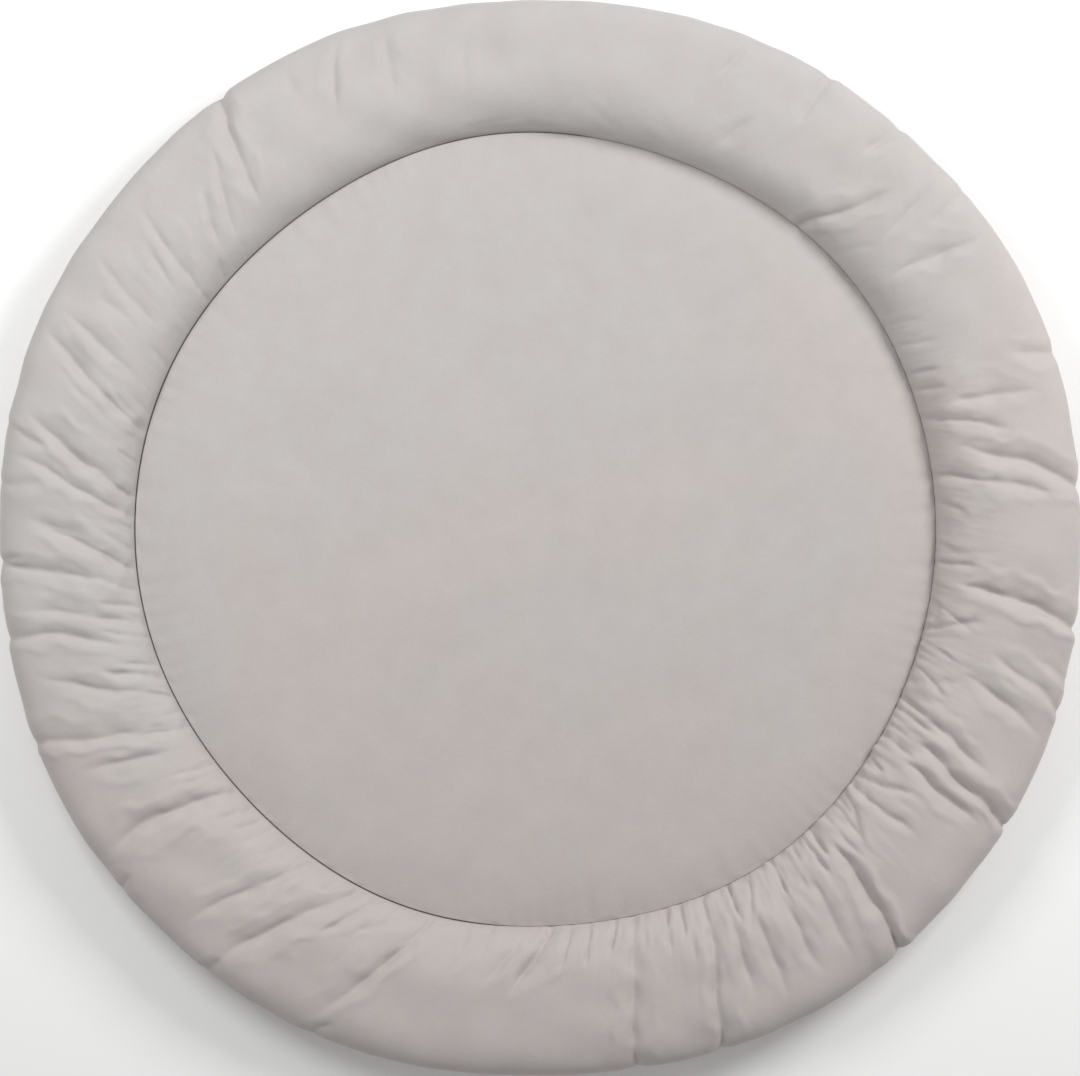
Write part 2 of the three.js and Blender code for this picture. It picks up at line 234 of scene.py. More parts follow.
# Rim: a stuffed tube of cloth, gathered to the seam, with its folds placed one by one
rim = {
    "columns": 1280,
    "topRows": 54,
    "tuckRows": 9,
    "crown": 0.060,
    "crownSwings": ((2, 0.0015, -60), (5, 0.0012, 12), (9, 0.0009, 3)),
    "waist": 0.026,  # height where the rim is widest
    "tuck": 0.026,  # how far the underside draws in from the widest line
    "fullness": (0.80, 0.55),  # of the section's inner and outer halves: 1 is an ellipse, less is fuller
    "innerSlope": 0.35,  # how far the inner half leans back from upright at the seam, from 0 to 1
    "clearance": 0.00015,
    # soft puffs over the seam where the cloth is most gathered
    "overhang": 0.0026,
    "puffedFrom": (0.65, 0.9),  # shares of gathering at which they begin and are whole
    "puffSize": (0.6, 0.5),  # their mean, and how far they differ, as shares of the overhang
    "puffLength": 0.014,
    "puffPlace": 0.06,  # where they are fullest and how wide they are, as shares of the way over the top
    "puffWidth": 0.06,
    "puffRise": 0.03,
    # slow lumps of the filling
    "lumps": 0.0009,
    "lumpLength": 0.06,
    "waves": (9, 10),  # how many waves are summed for puffs and lumps, and for the straying of folds
    "seeds": {"lumps": 21, "draws": 31, "skew": 45, "crinkles": 52, "puffs": 61},
    # shape of a fold
    "waistShare": 0.45,  # share of its depth that is left at the widest line
    "waistFrom": 0.7,  # from where over the top it fades towards that
    "stitchFade": (-0.02, 0.05),  # stretch over the top in which it rises from the stitches
    "cuspSoftness": 0.14,  # rounding of its bottom, as a share of its half width
    "corePower": 1.8,
    "flankShare": 0.45,  # share of its depth that its wide flanks have
    "flankReach": 2.4,  # how far the flanks go, in half widths
    "lip": 0.20,  # how far the cloth swells beside it, as a share of its depth
    "lipPlace": 1.9,  # where the lip is and how wide, in half widths
    "lipWidth": 0.7,
    "mostLip": 0.0016,
    "foldReach": 3.6,  # half widths past which it is nothing
    "endFade": 0.4,  # share of its stretch that it takes to fade at a free end
    "endNarrowing": 0.45,  # share of its width that it loses there
    "depthScale": 1.30,
    "widthScale": 0.85,
    "skew": 0.35,  # most that its two sides differ in width
    # at the stitches it is narrower and shallower: shares left there, how far out it is whole
    "seamWidth": 0.5,
    "seamDepth": 0.62,
    "taperReach": 0.24,
    "leastHalfWidth": 0.0032,
    # how far the folds stray from their lines, in degrees, and how uneven they are
    "waver": 0.16,
    "finerWaver": 0.25,  # share of it that is finer
    "unevenDepth": 0.15,
    "unevenWidth": 0.22,
    "waverLength": 0.055,
    # how many times finer than that each straying is, and its seed: line, finer line, depth, width
    "strays": ((1, 41), (3, 42), (1.5, 43), (1.8, 44)),
    "leanReach": 6,  # degrees over which the folds' lean is averaged
    # how much cloth is gathered, from 0 to 1: angle, share
    "gathering": (
        (0, 0.7), (18, 0.6), (35, 0.4), (60, 0.25), (90, 0.12), (105, 0.2), (125, 0.35), (155, 0.5),
        (170, 0.55), (205, 0.6), (235, 0.55), (255, 0.5), (270, 0.6), (285, 0.8), (300, 1.0), (332, 1.0),
        (350, 0.8),
    ),
    # low crinkles between the folds: how many waves are summed, their lengths round the seam, their depth
    "crinkleWaves": 26,
    "crinkleLengths": (0.010, 0.030),
    "crinkleDeep": 0.00075,
    "crinkleBand": 0.6,  # how near to 0 the sum has to be for a crinkle
    "crinkleTurn": 4.0,  # radians that a wave may turn by from the seam to the widest line
    "crinkleFade": 0.85,  # share that is lost further out, and the stretch in which that happens
    "crinkleFadeStretch": (0.15, 0.6),
    # outer, inner: angles where the fold's line would meet the widest line and the seam
    # bow: degrees that the line is bent by midway; begin, end: its stretch, as shares of the way out
    # deep, wide: millimetres
    "folds": (
        (3.8, 9.0, 0.3, 0, 0.95, 3.0, 16), (5.5, 13.6, 0.4, 0.1, 1, 4.6, 19),
        (10.5, 17.4, -0.3, 0, 0.6, 3.4, 15), (16.0, 19.0, 0, 0.05, 0.85, 3.0, 20),
        (19.8, 26.0, 0, 0.65, 1, 2.6, 17), (22.0, 28.5, 0, 0, 0.3, 1.2, 11),
        (34.0, 37.5, 0, 0.1, 0.95, 3.2, 18), (39.5, 37.0, 0, 0.6, 1, 1.4, 12),
        (42.4, 40.8, 0, 0.25, 0.92, 2.4, 13), (43.5, 50.2, -1.6, 0, 0.65, 4.2, 18),
        (49.0, 52.5, 0, 0.62, 1, 2.8, 14), (57.8, 58.6, 0, 0.55, 1, 2.8, 16),
        (60.0, 67.0, -0.6, 0.12, 0.5, 1.8, 15), (66.8, 72.0, 0, 0.6, 0.95, 2.4, 14),
        (98.0, 100.2, 0, 0.25, 0.75, 1.0, 16), (106.8, 109.5, 0, 0.35, 0.95, 1.8, 17),
        (111.8, 119.0, 0, 0.45, 0.95, 2.4, 15), (118.7, 118.2, 0, 0.65, 0.9, 1.0, 12),
        (126.0, 130.8, 0.2, 0.14, 1, 4.0, 17), (128.0, 137.0, -0.5, 0.05, 0.75, 2.2, 16),
        (130.0, 139.4, 0, 0.1, 0.6, 2.2, 13), (139.3, 144.5, 0, 0, 0.85, 2.4, 16),
        (139.6, 147.7, 0, 0.1, 0.7, 1.6, 13), (146.8, 152.0, 0, 0.1, 0.9, 1.6, 16),
        (150.0, 153.5, 0, 0.35, 0.7, 1.0, 13), (153.4, 159.0, 0, 0.1, 0.9, 2.0, 15),
        (151.5, 164.5, 0, 0, 0.33, 2.4, 11), (156.2, 165.0, -0.2, 0, 0.95, 4.0, 17),
        (157.6, 167.2, 0, 0.08, 0.75, 1.6, 13), (165.0, 174.2, -0.3, 0, 0.9, 4.6, 18),
        (167.8, 173.0, 0, 0.65, 1, 1.8, 12), (170.4, 177.0, -0.6, 0, 0.95, 3.0, 15),
        (174.0, 174.0, 0, 0.6, 1, 1.6, 13), (176.7, 181.2, 0, 0.25, 0.8, 2.2, 18),
        (177.0, 184.3, -1.0, 0, 0.75, 4.0, 16), (182.4, 178.4, 0, 0.8, 1, 2.6, 11),
        (182.7, 186.6, -0.3, 0.05, 1, 3.2, 16), (180.0, 187.4, -0.5, 0, 0.42, 2.0, 11),
        (183.0, 190.0, 0, 0, 0.36, 1.8, 11), (187.7, 192.5, -1.0, 0, 0.95, 3.0, 16),
        (190.4, 196.0, -1.2, 0.08, 1, 3.6, 17), (192.4, 200.3, -0.8, 0, 0.4, 3.8, 13),
        (193.6, 201.8, 0, 0, 0.3, 1.6, 10), (194.6, 203.0, -0.8, 0, 0.86, 3.0, 16),
        (197.0, 207.9, 0, 0, 0.3, 1.8, 11), (202.2, 208.2, -0.6, 0, 1, 3.4, 19),
        (206.0, 211.0, -0.4, 0.1, 0.8, 3.0, 16), (216.6, 219.8, -2.2, 0, 0.95, 5.0, 23),
        (219.8, 211.0, 0, 0.88, 1, 2.2, 11), (212.5, 223.0, 0, 0, 0.22, 1.7, 9),
        (215.0, 225.4, 0, 0, 0.22, 1.7, 9), (219.5, 227.4, 0, 0, 0.22, 1.7, 9),
        (221.0, 230.4, 0, 0, 0.22, 1.7, 9), (226.5, 235.0, -1.6, 0, 0.85, 3.2, 18),
        (227.6, 236.0, -1.2, 0, 0.4, 1.8, 10), (232.3, 236.0, 0, 0.84, 1, 1.8, 12),
        (232.4, 242.8, -2.2, 0, 0.95, 4.8, 22), (236.0, 246.0, -2.0, 0, 0.4, 3.4, 13),
        (224.0, 251.4, 0, 0, 0.27, 2.0, 11), (243.4, 254.3, -0.3, 0, 0.9, 4.0, 18),
        (245.2, 254.0, 0, 0.85, 1, 1.8, 12), (241.5, 256.0, 0, 0, 0.33, 2.0, 11),
        (256.0, 268.0, -0.8, 0.02, 0.42, 2.6, 20), (260.0, 271.4, -0.4, 0, 0.46, 5.4, 22),
        (280.2, 283.4, -0.4, 0, 1, 3.6, 21), (285.0, 292.8, 0, 0, 0.42, 1.8, 11),
        (289.4, 294.2, 0, 0, 1, 4.0, 16), (294.5, 296.6, 0.2, 0.12, 0.75, 3.0, 13),
        (297.6, 300.5, 0, 0.04, 0.85, 3.0, 15), (303.6, 304.6, -0.8, 0.04, 0.85, 2.6, 15),
        (305.8, 308.6, 0.4, 0.04, 0.85, 2.4, 15), (311.2, 314.2, 0.5, 0.04, 1, 6.0, 15),
        (313.8, 315.4, 0.6, 0, 0.38, 1.8, 10), (315.6, 317.6, 0, 0, 0.35, 2.6, 11),
        (321.5, 321.6, 0.2, 0, 0.55, 2.8, 13), (330.0, 323.3, 0, 0, 0.4, 3.0, 12),
        (326.4, 328.8, 0, 0.08, 0.85, 4.4, 14), (328.2, 332.4, 0, 0.12, 1, 6.0, 15),
        (331.2, 336.3, -0.3, 0, 0.75, 4.2, 14), (347.0, 338.6, 0, 0, 0.35, 1.4, 11),
        (338.0, 344.0, 0.2, 0.28, 0.95, 3.6, 16), (341.6, 348.2, 0.4, 0.42, 1, 3.6, 14),
        (344.8, 351.0, 0, 0.75, 1, 1.2, 11), (352.5, 346.8, 0.8, 0, 0.4, 2.2, 11),
        (350.5, 354.0, 0.5, 0.06, 1, 6.0, 18), (355.6, 356.6, 0, 0, 0.35, 2.8, 11),
        (356.0, 358.4, 0, 0, 0.28, 1.2, 10),
    ),
    # short draws right at the stitches: the angle of each, with the usual lean, reach, depth and width
    "draws": (
        140.6, 149.3, 155.5, 169.8, 178.6, 181.5, 194.2, 198.4, 205.5, 214.8, 233.0, 239.6, 248.4, 259.5,
        263.2, 274.6, 277.3, 281.0, 283.9, 288.6, 290.9, 298.2, 301.8, 305.5, 307.8, 309.4, 311.3, 312.8,
        318.7, 320.2, 326.6, 330.4, 334.6, 341.5, 345.2, 351.0, 359.6, 5.6, 21.8, 24.3, 31.5, 44.6, 47.3,
    ),
    "drawLean": 6.0,
    "drawReach": 0.24,
    "drawDeep": 2.9,
    "drawWide": 9.0,
    "drawSpread": 0.45,  # how far each of these strays from the usual, as a share
    # how much longer the cloth is cut than it is sewn, as shares, where it is fully gathered
    "spareAtSeam": 0.08,
    "spareAtOutline": 0.002,
    "sparePower": 1.3,
}


def gathered(degrees):
    # how much cloth is gathered at an angle, from the table
    angles, shares = np.array(rim["gathering"]).T
    return np.interp(degrees % 360, angles, shares, period=360)


def allFolds():
    # the folds as charted, and the short draws, each strayed a little from the usual by seeded dice
    dice = np.random.default_rng(rim["seeds"]["draws"])
    folds = [tuple(fold) for fold in rim["folds"]]
    for inner in rim["draws"]:
        stray = 1 + rim["drawSpread"] * dice.uniform(-1, 1, 4)
        folds.append((inner - rim["drawLean"] * stray[0] ** 2, inner, 0, 0, rim["drawReach"] * stray[1],
                      rim["drawDeep"] * stray[2] * gathered(inner), rim["drawWide"] * stray[3]))
    return folds


def foldRelief(degrees, out):
    # Depth that the cloth is drawn in by. Across a fold it is part deep * (1 - sqrt(s^2 + k^2))^power, where
    # s is the distance from its line over its half width and k rounds its bottom, and part
    # deep * (1 - s / reach)^2 for its wide flanks. Past them a low lip of cloth swells as a bell. Folds that
    # meet are joined by a cubic mean, so that they don't add up. A fold fades and narrows to its free ends
    # and to the stitches, and its two sides differ.
    breadth = outline(degrees) - seamLine(degrees)
    radius = seamLine(degrees) + breadth * out
    flat = placed(degrees, radius, 0.0)
    x, y = flat[..., 0], flat[..., 1]
    length, waves = rim["waverLength"], rim["waves"][1]
    strays = [softLumps(x, y, length / times, waves, seed) for times, seed in rim["strays"]]
    warped = degrees + rim["waver"] * strays[0]
    warped = warped + rim["finerWaver"] * rim["waver"] * strays[1]
    deeper = 1 + rim["unevenDepth"] * strays[2]
    wider = 1 + rim["unevenWidth"] * strays[3]
    dice = np.random.default_rng(rim["seeds"]["skew"])
    cusp = rim["cuspSoftness"]
    whole = smoothStep(out, 0, rim["taperReach"])
    cubes = np.zeros_like(degrees)
    lips = np.zeros_like(degrees)
    for outer, inner, bow, begin, end, deep, wide in allFolds():
        skew = rim["skew"] * dice.uniform(-1, 1)
        line = inner + (outer - inner) * out + bow * 4 * out * (1 - out)
        slant = np.radians(outer - inner + bow * 4 * (1 - 2 * out)) * radius / breadth
        aside = np.radians(turnBetween(warped, line)) * radius / np.sqrt(1 + slant**2)
        half = rim["widthScale"] * wide / 2000 * wider * (1 + skew * np.sign(aside))
        least = np.minimum(half, rim["leastHalfWidth"])
        half = np.maximum(half * (rim["seamWidth"] + (1 - rim["seamWidth"]) * whole), least)
        near = np.abs(aside) < rim["foldReach"] * half
        fade = np.ones(near.sum())
        fadeLength = rim["endFade"] * (end - begin)
        if begin > 0:
            fade = fade * smoothStep(out[near], begin, begin + fadeLength)
        if end < 1:
            fade = fade * (1 - smoothStep(out[near], end - fadeLength, end))
        s = np.abs(aside[near]) / (half[near] * (1 - rim["endNarrowing"] + rim["endNarrowing"] * fade))
        drawn = rim["depthScale"] * deep / 1000 * deeper[near] * fade
        drawn = drawn * (rim["seamDepth"] + (1 - rim["seamDepth"]) * whole[near])
        core = (np.clip(1 - np.sqrt(s**2 + cusp**2), 0, 1) / (1 - cusp)) ** rim["corePower"]
        flanks = np.clip(1 - s / rim["flankReach"], 0, 1) ** 2
        dip = core + rim["flankShare"] * (flanks - core)
        cubes[near] += (drawn * dip) ** 3
        lips[near] += drawn * rim["lip"] * np.exp(-(((s - rim["lipPlace"]) / rim["lipWidth"]) ** 2))
    return np.cbrt(cubes) - np.minimum(lips, rim["mostLip"])


def crinkles(turns, out):
    # Low crinkles between the folds: n = sum of cos(count * turn + bend * out + phase), and the cloth is
    # drawn in by deep * (1 - |n| / band)^2 where |n| is under the band, so they run in and out and fork
    dice = np.random.default_rng(rim["seeds"]["crinkles"])
    seamLength = 2 * np.pi * plan["seamRadius"]
    shortest, longest = rim["crinkleLengths"]
    total = np.zeros_like(out)
    for _ in range(rim["crinkleWaves"]):
        count = int(round(seamLength / np.exp(dice.uniform(np.log(shortest), np.log(longest)))))
        bend = rim["crinkleTurn"] * dice.uniform(-1, 1)
        phase = dice.uniform(0, 2 * np.pi)
        total += np.cos(count * turns + bend * out + phase)
    total = total / np.sqrt(rim["crinkleWaves"] / 2)
    return rim["crinkleDeep"] * np.clip(1 - np.abs(total) / rim["crinkleBand"], 0, 1) ** 2


def foldLean(degrees):
    # Lean of the cloth's lines from seam to widest line: the folds' own, averaged by a bell over some
    # degrees, with deep and long folds counting for more
    folds = np.array(allFolds())
    middle = (folds[:, 0] + folds[:, 1]) / 2
    strength = folds[:, 5] * (folds[:, 4] - folds[:, 3])
    pull = strength * np.exp(-((turnBetween(degrees[:, None], middle) / rim["leanReach"]) ** 2)) + 1e-6
    return (pull * (folds[:, 0] - folds[:, 1])).sum(1) / pull.sum(1)


def rimArch(degrees, over):
    # Over the top, for over from 0 at the seam to 1 at the widest line:
    # out = (1 -+ |cos(pi over)|^fullness) / 2, mixed with over itself on the inner half,
    # radius = seam + (outline - seam) * out - puffs, each a bell over the way out, and
    # height = base + (crown - base) * sin(pi over)^fullness, with base rising from the seam to the waist.
    run = -np.cos(np.pi * over)
    fullness = np.where(run > 0, rim["fullness"][1], rim["fullness"][0])
    out = (1 + np.sign(run) * np.abs(run) ** fullness) / 2
    out = np.where(run > 0, out, out + rim["innerSlope"] * (over - out))
    opening = grooveOpening(degrees)
    inner = seamLine(degrees) + rim["clearance"] + opening / 2
    puffed = smoothStep(gathered(degrees), *rim["puffedFrom"])
    alongSeam = np.radians(degrees) * plan["seamRadius"]
    uneven = softLumps(alongSeam, 0 * degrees, rim["puffLength"], rim["waves"][0], rim["seeds"]["puffs"])
    puffs = rim["puffSize"][0] + rim["puffSize"][1] * uneven
    bell = np.exp(-(((over - rim["puffPlace"]) / rim["puffWidth"]) ** 2))
    swell = rim["overhang"] * puffed * puffs * bell * smoothStep(over, 0, rim["puffRise"])
    radius = inner + (outline(degrees) - inner) * out - swell
    foot = seamHeight(degrees)
    base = foot + (rim["waist"] - foot) * over
    crown = swung(rim["crown"], rim["crownSwings"], degrees)
    rise = np.clip(np.sin(np.pi * over), 0, 1) ** fullness
    return radius, base + (crown - base) * rise, out


def evenSteps(rows):
    # values of over that step evenly along the cloth, found from fine points on the section at angle 0
    finePoints = 4001
    over = np.linspace(0, 1, finePoints)
    radius, height, out = rimArch(np.zeros_like(over), over)
    along = np.concatenate([[0], np.cumsum(np.hypot(np.diff(radius), np.diff(height)))])
    return np.interp(np.linspace(0, along[-1], rows), along, over)


def rimCover():
    # The cloth that shows: over the top, then down round the outside by a quarter turn to the floor, where
    # radius = widest - tuck * (1 - cos t) and height = waist * (1 - sin t). Gives the angles, the smooth
    # section's radius and height, and how far its folds, crinkles and lumps sink each point.
    columns, rows = rim["columns"], rim["topRows"]
    middle = np.arange(columns) * 360 / columns
    lean = foldLean(middle)
    over = np.broadcast_to(evenSteps(rows)[None, :], (columns, rows))
    share = np.linspace(0, 1, rows)[None, :]
    degrees = middle[:, None] + lean[:, None] * (share - 0.5)
    radius, height, out = rimArch(degrees, over)
    turns = np.broadcast_to(np.radians(middle)[:, None], out.shape)
    fine = gathered(degrees) * (1 - rim["crinkleFade"] * smoothStep(out, *rim["crinkleFadeStretch"]))
    flat = placed(degrees, radius, height)
    lumps = softLumps(flat[..., 0], flat[..., 1], rim["lumpLength"], rim["waves"][0], rim["seeds"]["lumps"])
    begins, whole = rim["stitchFade"]
    sunk = (fine * crinkles(turns, out) - rim["lumps"] * lumps) * smoothStep(over, 0, whole)
    sunk = sunk + foldRelief(degrees, out) * smoothStep(over, begins, whole)
    sunk = sunk * (1 - (1 - rim["waistShare"]) * smoothStep(over, rim["waistFrom"], 1))
    turn = np.linspace(0, np.pi / 2, rim["tuckRows"] + 1)[None, 1:]
    tuckRadius = radius[:, -1:] - rim["tuck"] * (1 - np.cos(turn))
    tuckHeight = height[:, -1:] * (1 - np.sin(turn))
    degrees = np.concatenate([degrees, np.repeat(degrees[:, -1:], rim["tuckRows"], axis=1)], axis=1)
    radius = np.concatenate([radius, tuckRadius], axis=1)
    height = np.concatenate([height, tuckHeight], axis=1)
    sunk = np.concatenate([sunk, sunk[:, -1:] * (1 - np.sin(turn))], axis=1)
    return degrees, radius, height, sunk


def drawnIn(degrees, radius, height, sunk):
    # the section's points, moved by sunk against its outward normal
    alongRadius, alongHeight = np.gradient(radius, axis=1), np.gradient(height, axis=1)
    length = np.hypot(alongRadius, alongHeight)
    return placed(degrees, radius + alongHeight / length * sunk, height - alongRadius / length * sunk)


def cutStrip(degrees, radius, height):
    # The same strip before it is gathered: each line round it is longer than where it is sewn, by
    # gathering * (spare at the outline + the rest * (1 - t)^power), and its width from seam to floor is the
    # same, so it stands as a steep cone.
    steps = np.hypot(np.diff(radius, axis=1), np.diff(height, axis=1))
    along = np.concatenate([np.zeros_like(radius[:, :1]), np.cumsum(steps, axis=1)], axis=1)
    t = np.clip(along / along[:, rim["topRows"] - 1:rim["topRows"]], 0, 1)
    extra = rim["spareAtSeam"] - rim["spareAtOutline"]
    spare = rim["spareAtOutline"] + extra * (1 - t) ** rim["sparePower"]
    longer = radius * (1 + gathered(degrees) * spare)
    drop = np.sqrt(np.clip(steps**2 - np.diff(longer, axis=1) ** 2, 0, None))
    lower = height[:, :1] - np.concatenate([np.zeros_like(radius[:, :1]), np.cumsum(drop, axis=1)], axis=1)
    return longer, lower


# Settling of the rim's cloth over its filling, as a simulation
settling = {
    "frames": 16,
    "gatherFrames": 9,  # over which the strip is drawn from its cut shape to its sewn one
    "quality": 5,
    "mass": 0.004,  # of each point
    "stretch": 20,
    "shear": 6,
    "bending": 1.0,
    "airDamping": 2,
    "pressure": 5.0,  # of the filling
    # how firmly the stitches, the filling and the floor hold the cloth: way from seam to floor, hold
    "hold": ((0, 1), (0.03, 0.6), (0.09, 0.18), (0.28, 0.2), (0.55, 0.6), (0.97, 0.8), (1, 1)),
    # share of the cloth's movement that is kept: way from seam to floor, share
    "kept": ((0, 0), (0.02, 0.4), (0.08, 0.9), (0.28, 0.9), (0.55, 0.35), (0.93, 0.3), (1, 0)),
    "keptUngathered": 0.25,  # share of that which is kept where nothing is gathered
    "smoothTakenOff": 0.9,  # share of the smooth movement that is taken off
    "smoothRound": 0.012,  # how wide smooth is, as shares of the way round and of the strip's width
    "smoothAcross": 0.12,
    "jitterSteps": 0.9,  # unevenness finer than this many mesh steps is smoothed
    "mostMove": 0.0038,
}


def softened(field, roundSteps, acrossSteps):
    # weighted mean over nearby points, by a bell exp(-d^2 / (2 steps^2)): closed round the rim and mirrored
    # at the strip's two edges
    columns, rows = field.shape[:2]
    away = np.minimum(np.arange(columns), columns - np.arange(columns))
    bell = np.exp(-(away**2) / (2 * roundSteps**2))
    spectrum = np.fft.rfft(bell / bell.sum())
    field = np.fft.irfft(np.fft.rfft(field, axis=0) * spectrum[:, None, None], n=columns, axis=0)
    mirrored = np.concatenate([field, field[:, ::-1]], axis=1)
    away = np.minimum(np.arange(2 * rows), 2 * rows - np.arange(2 * rows))
    bell = np.exp(-(away**2) / (2 * acrossSteps**2))
    spectrum = np.fft.rfft(bell / bell.sum())
    mirrored = np.fft.irfft(np.fft.rfft(mirrored, axis=1) * spectrum[None, :, None], n=2 * rows, axis=1)
    return mirrored[:, :rows]


def byRow(table, rows):
    # a table's values for each row from the seam to the floor
    ways, values = np.array(table).T
    return np.interp(np.linspace(0, 1, rows), ways, values)


def settleCloth(points, cut, gathers):
    # The strip is gathered from its cut shape to its sewn one, held along the seam and at the floor. The
    # filling presses it outward and holds it loosely, so that it puckers by itself about the folds laid in.
    # Only the puckers are kept: most of the movement that is smooth over some centimetres is taken off.
    columns, rows = points.shape[:2]
    i, k = np.meshgrid(np.arange(columns), np.arange(rows - 1), indexing="ij")
    nextColumn = (i + 1) % columns
    faces = np.stack([i * rows + k, i * rows + k + 1, nextColumn * rows + k + 1, nextColumn * rows + k], -1)
    mesh = bpy.data.meshes.new("looseCloth")
    mesh.from_pydata(cut.reshape(-1, 3), [], faces.reshape(-1, 4))
    mesh.update()
    loose = bpy.data.objects.new("looseCloth", mesh)
    bpy.context.scene.collection.objects.link(loose)
    loose.shape_key_add(name="cut")
    sewn = loose.shape_key_add(name="sewn")
    sewn.data.foreach_set("co", points.astype(np.float32).ravel())
    sewn.value = 0
    sewn.keyframe_insert("value", frame=1)
    sewn.value = 1
    sewn.keyframe_insert("value", frame=settling["gatherFrames"])
    gathering = mesh.shape_keys.animation_data.action
    held = loose.vertex_groups.new(name="held")
    for row, firmness in enumerate(byRow(settling["hold"], rows)):
        held.add((np.arange(columns) * rows + row).tolist(), float(firmness), "REPLACE")
    cover = loose.modifiers.new("cover", "CLOTH")
    fabric = cover.settings
    fabric.quality = settling["quality"]
    fabric.mass = settling["mass"]
    fabric.tension_stiffness = settling["stretch"]
    fabric.compression_stiffness = settling["stretch"]
    fabric.shear_stiffness = settling["shear"]
    fabric.bending_stiffness = settling["bending"]
    fabric.air_damping = settling["airDamping"]
    fabric.vertex_group_mass = "held"
    fabric.use_pressure = True
    fabric.uniform_pressure_force = settling["pressure"]
    fabric.effector_weights.gravity = 0
    cover.point_cache.frame_end = settling["frames"]
    scene = bpy.context.scene
    for frameNumber in range(1, settling["frames"] + 1):
        scene.frame_set(frameNumber)
    settled = loose.evaluated_get(bpy.context.evaluated_depsgraph_get()).to_mesh()
    flat = np.empty(columns * rows * 3, dtype=np.float32)
    settled.vertices.foreach_get("co", flat)
    moved = flat.reshape(columns, rows, 3).astype(float) - points
    scene.frame_set(1)
    bpy.data.objects.remove(loose)
    bpy.data.meshes.remove(mesh)
    bpy.data.actions.remove(gathering)
    smooth = softened(moved, columns * settling["smoothRound"], rows * settling["smoothAcross"])
    moved -= settling["smoothTakenOff"] * smooth
    moved = softened(moved, settling["jitterSteps"], settling["jitterSteps"])
    far = np.linalg.norm(moved, axis=-1, keepdims=True)
    print("rim: cloth moved by", round(float(far.mean()) * 1000, 2), "mm on average,",
          round(float(far.max()) * 1000, 2), "mm at most")
    moved *= np.minimum(1, settling["mostMove"] / np.maximum(far, 1e-9))
    kept = settling["keptUngathered"] + (1 - settling["keptUngathered"]) * gathers
    return points + moved * (kept * byRow(settling["kept"], rows))[..., None]


def rimSurface():
    # The cover, then in under the ring, and up the seam's wall
    degrees, radius, height, sunk = rimCover()
    cover = drawnIn(degrees, radius, height, sunk)
    cut = drawnIn(degrees, *cutStrip(degrees, radius, height), sunk)
    cover = settleCloth(cover, cut, gathered(degrees))
    innerAngle = degrees[:, :1]
    middleAngle = (degrees[:, -1:] + innerAngle) / 2
    closed = seamLine(innerAngle) + rim["clearance"]
    foot = seamHeight(innerAngle)
    opened = closed + grooveOpening(innerAngle) / 2
    grooveFoot = closed * (1 - plan["grooveFoot"]) + opened * plan["grooveFoot"]
    parts = [cover]
    parts.append(placed(middleAngle, (outline(middleAngle) - rim["tuck"] + closed) / 2, 0.0))
    parts.append(placed(innerAngle, closed + plan["hemChamfer"], 0.0))
    parts.append(placed(innerAngle, closed, plan["hemChamfer"]))
    parts.append(placed(innerAngle, closed, foot * plan["wallHeight"]))
    parts.append(placed(innerAngle, grooveFoot, foot - plan["grooveDepth"]))
    return np.concatenate(parts, axis=1)


def makeRim():
    # the surface, closed all round; its cloth lies as a straight strip, as long as the widest line
    points = rimSurface()
    columns = points.shape[0]
    around = np.linspace(0, 2 * np.pi * plan["outlineRadius"], columns + 1)
    wrapped = np.concatenate([points, points[:, :1]], axis=1)
    steps = np.linalg.norm(np.diff(wrapped, axis=1), axis=2).mean(0)
    across = np.concatenate([[0], np.cumsum(steps)])
    lay = np.stack(np.broadcast_arrays(around[:, None], across[None, :]), -1)
    return ringMesh("rimCloth", points, lay, closedRows=True)


# Cloth: a pale warm grey with a short soft nap over a fine plain weave
cloth = {
    "pale": (0.508, 0.462, 0.448),
    "cool": (0.491, 0.469, 0.456),
    "deep": (0.420, 0.382, 0.371),
    # slow mottling from pale to cool, which leans to the pale pink side towards an angle
    "mottleLength": 0.16,
    "mottleDetail": 3,
    "mottleRange": (0.35, 0.65),  # of the noise that goes from one colour to the other
    "pinkTowards": 296,
    "pinkShare": 0.36,  # how far it leans at the edge
    # small deeper blotches
    "blotchLength": 0.028,
    "blotchDetail": 5,
    "blotchRoughness": 0.62,
    "blotchRange": (0.3, 0.75),
    "blotchShare": 0.34,
    # plain weave and nap
    "threadPitch": 0.0006,
    "threadDistortion": 0.6,
    "threadDetail": 1,
    "napLength": 0.0035,
    "napDetail": 6,
    "napRoughness": 0.7,
    "napShade": (0.94, 1.06),  # how much the nap darkens and lightens the cloth
    "weaveShare": 0.25,  # height of the weave beside the nap's
    "reliefStrength": 0.5,
    "reliefDepth": 0.0006,
    "roughness": 0.9,
    "sheen": 0.25,
    "sheenRoughness": 0.45,
    "sheenTint": (1.0, 0.97, 0.95),
    "specular": 0.2,
}


def addNode(tree, kind, place, **settings):
    node = tree.nodes.new(kind)
    node.location = place
    for name, value in settings.items():
        setattr(node, name, value)
    return node


